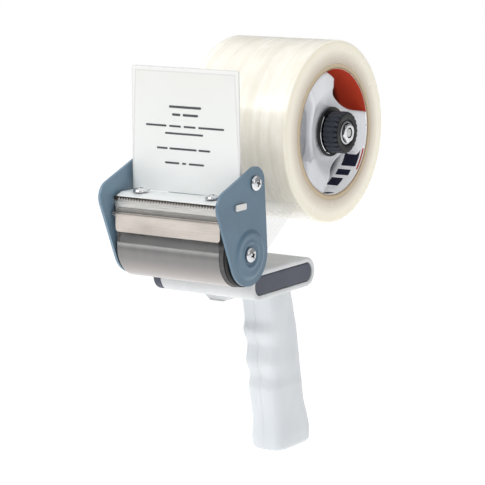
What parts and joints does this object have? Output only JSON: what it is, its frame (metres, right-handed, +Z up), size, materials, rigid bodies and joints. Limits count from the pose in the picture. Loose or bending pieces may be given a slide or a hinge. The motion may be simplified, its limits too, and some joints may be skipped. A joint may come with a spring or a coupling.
{
  "type": "packing tape dispenser",
  "caption": "Pistol-grip packing tape dispenser with a loaded tape roll on a braked hub, roller, toothed cutter, sprung wiper flap and guard.",
  "frame": {"origin": "middle of the hand hold, half way between the two side plates", "axes": "+X across the tape towards the short side plate and the tension knob, -Y towards the cutting end, +Z up along the grip"},
  "size_m": [0.0946, 0.1897, 0.2523],
  "materials": {
    "painted_steel": "blue-grey satin paint on sheet steel",
    "zinc_steel": "bright zinc plate",
    "blade_steel": "ground steel",
    "guard_steel": "bright pressed steel",
    "white_plastic": "white satin moulding",
    "flap_plastic": "translucent white sheet",
    "grey_plastic": "dark grey moulding",
    "knob_plastic": "near-black moulding",
    "rubber": "black matt rubber",
    "card": "wound card tube",
    "clear_tape": "clear film wound on itself",
    "nylon": "natural nylon",
    "fibre": "pressed red-brown fibre"
  },
  "bodies": {
    "frame": {"main_frame": "painted_steel", "near_side_plate": "painted_steel", "near_tie_screw": "zinc_steel", "near_axle_screw": "zinc_steel", "far_tie_screw": "zinc_steel", "far_axle_screw": "zinc_steel", "tie_rod": "zinc_steel", "roller_axle": "zinc_steel", "cross_bracket": "zinc_steel", "cutting_blade": "blade_steel", "flap_foot": "flap_plastic", "far_flap_screw": "zinc_steel", "near_flap_screw": "zinc_steel", "guard_pin": "zinc_steel", "guard_spring": "zinc_steel", "tape_web": "clear_tape", "hub_spindle": "zinc_steel", "spindle_nut": "zinc_steel", "spindle_washer": "zinc_steel", "brake_washer": "fibre", "spring_cup": "knob_plastic", "tension_spring": "zinc_steel", "handle_block": "white_plastic", "near_end_cap": "grey_plastic", "far_end_cap": "grey_plastic", "far_frame_bolt": "zinc_steel", "near_frame_bolt": "zinc_steel", "grip_near": "white_plastic", "grip_far": "white_plastic", "top_grip_screw": "zinc_steel", "middle_grip_screw": "zinc_steel", "bottom_grip_screw": "zinc_steel"},
    "flap": {"wiper_flap": "flap_plastic"},
    "guard": {"tape_guard": "guard_steel"},
    "roller": {"roller_sleeve": "rubber", "roller_core": "grey_plastic", "near_roller_bush": "nylon", "far_roller_bush": "nylon"},
    "reel": {"reel_hub": "white_plastic", "hub_bushing": "nylon", "tape_core": "card", "tape_roll": "clear_tape"},
    "tension_slide": {"thrust_washer": "zinc_steel"},
    "knob": {"tension_knob": "knob_plastic", "knob_nut": "zinc_steel"}
  },
  "joints": [
    {"name": "reel_spin", "type": "hinge", "parent": "frame", "child": "reel", "pos_m": [0, 0.018, 0.14], "axis": [1, 0, 0], "continuous": true},
    {"name": "roller_spin", "type": "hinge", "parent": "frame", "child": "roller", "pos_m": [0, -0.0854, 0.0816], "axis": [1, 0, 0], "continuous": true},
    {"name": "flap_flex", "type": "hinge", "parent": "frame", "child": "flap", "pos_m": [0, -0.088, 0.114], "axis": [1, 0, 0], "range_deg": [-24, 20], "stiffness_Nm_per_rad": 0.03},
    {"name": "guard_swing", "type": "hinge", "parent": "frame", "child": "guard", "pos_m": [0, -0.0993, 0.1036], "axis": [1, 0, 0], "range_deg": [-22, 0], "stiffness_Nm_per_rad": 0.01, "springref_deg": 11.46},
    {"name": "knob_travel", "type": "slide", "parent": "frame", "child": "tension_slide", "axis": [1, 0, 0], "range_m": [-0.00101, 0.00101], "deforming": ["tension_spring"]},
    {"name": "knob_turn", "type": "hinge", "parent": "tension_slide", "child": "knob", "pos_m": [0, 0.018, 0.14], "axis": [1, 0, 0], "range_deg": [-360, 360]}
  ],
  "couplings": [
    {"joint": "roller_spin", "follows": "reel_spin", "ratio": -2.895},
    {"joint": "knob_travel", "follows": "knob_turn", "m_per_rad": 0.000159}
  ]
}
